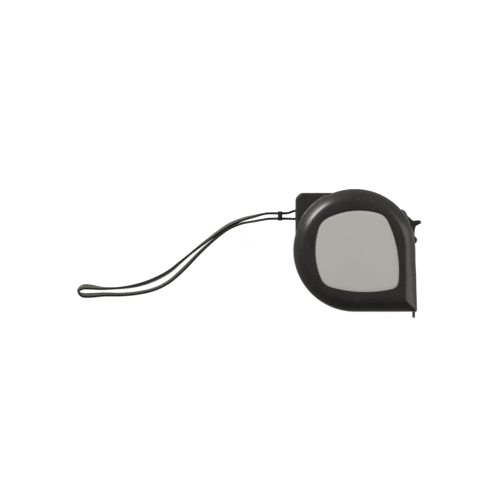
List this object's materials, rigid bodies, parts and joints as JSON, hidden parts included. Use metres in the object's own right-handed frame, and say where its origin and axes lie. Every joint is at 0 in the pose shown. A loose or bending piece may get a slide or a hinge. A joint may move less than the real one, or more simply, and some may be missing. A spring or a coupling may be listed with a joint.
{
  "type": "tape measure",
  "caption": "Pocket tape measure lying on its side, with a round case, a spring reel, a thumb lock, a floating end hook and a wrist strap.",
  "frame": {"origin": "reel axis at the level of the rear crest, the flat ring that the tape lies on", "axes": "+X out of the mouth, +Y towards the top of the tool, +Z through the thickness, away from the surface it lies on"},
  "size_m": [0.1967, 0.0735, 0.032],
  "materials": {
    "case_plastic": "satin moulded",
    "plate_grey": "matt lacquer",
    "screw_steel": "zinc plated",
    "guide_plastic": "moulded",
    "bumper_rubber": "matt",
    "reel_plastic": "moulded",
    "spring_steel": "blued",
    "blade_paint": "satin lacquer",
    "hook_steel": "plated",
    "lock_plastic": "satin moulded",
    "shoe_plastic": "moulded",
    "strap_fabric": "tight woven"
  },
  "bodies": {
    "case": {"front_cover": "case_plastic", "rear_cover": "case_plastic", "front_plate": "plate_grey", "rear_plate": "plate_grey", "case_screws": "screw_steel", "mouth_guide": "guide_plastic", "hook_bumper": "bumper_rubber", "axle_post": "reel_plastic", "front_washer": "reel_plastic", "rear_washer": "reel_plastic", "power_spring": "spring_steel", "lock_spring": "spring_steel", "strap_pin": "hook_steel", "wrist_strap": "strap_fabric"},
    "reel": {"reel_drum": "reel_plastic", "drum_cap": "reel_plastic", "blade_coil": "blade_paint"},
    "blade": {"blade_run": "blade_paint", "hook_rivets": "hook_steel"},
    "hook": {"end_hook": "hook_steel"},
    "lock": {"lock_slider": "lock_plastic", "lock_shoe": "shoe_plastic"},
    "keeper": {"strap_keeper": "lock_plastic"}
  },
  "joints": [
    {"name": "reel_spin", "type": "hinge", "parent": "case", "child": "reel", "pos_m": [0, 0, 0.016], "axis": [0, 0, 1], "range_deg": [0, 88], "stiffness_Nm_per_rad": 0.01, "springref_deg": -171.89},
    {"name": "blade_slide", "type": "slide", "parent": "case", "child": "blade", "axis": [1, 0, 0], "range_m": [0, 0.04]},
    {"name": "hook_float", "type": "slide", "parent": "blade", "child": "hook", "axis": [1, 0, 0], "range_m": [0, 0.001]},
    {"name": "lock_slide", "type": "hinge", "parent": "case", "child": "lock", "pos_m": [0, 0, 0.016], "axis": [0, 0, 1], "range_deg": [-8, 0]},
    {"name": "keeper_slide", "type": "slide", "parent": "case", "child": "keeper", "axis": [1, 0, 0], "range_m": [-0.003, 0.002]}
  ],
  "couplings": [
    {"joint": "blade_slide", "follows": "reel_spin", "m_per_rad": 0.026}
  ]
}
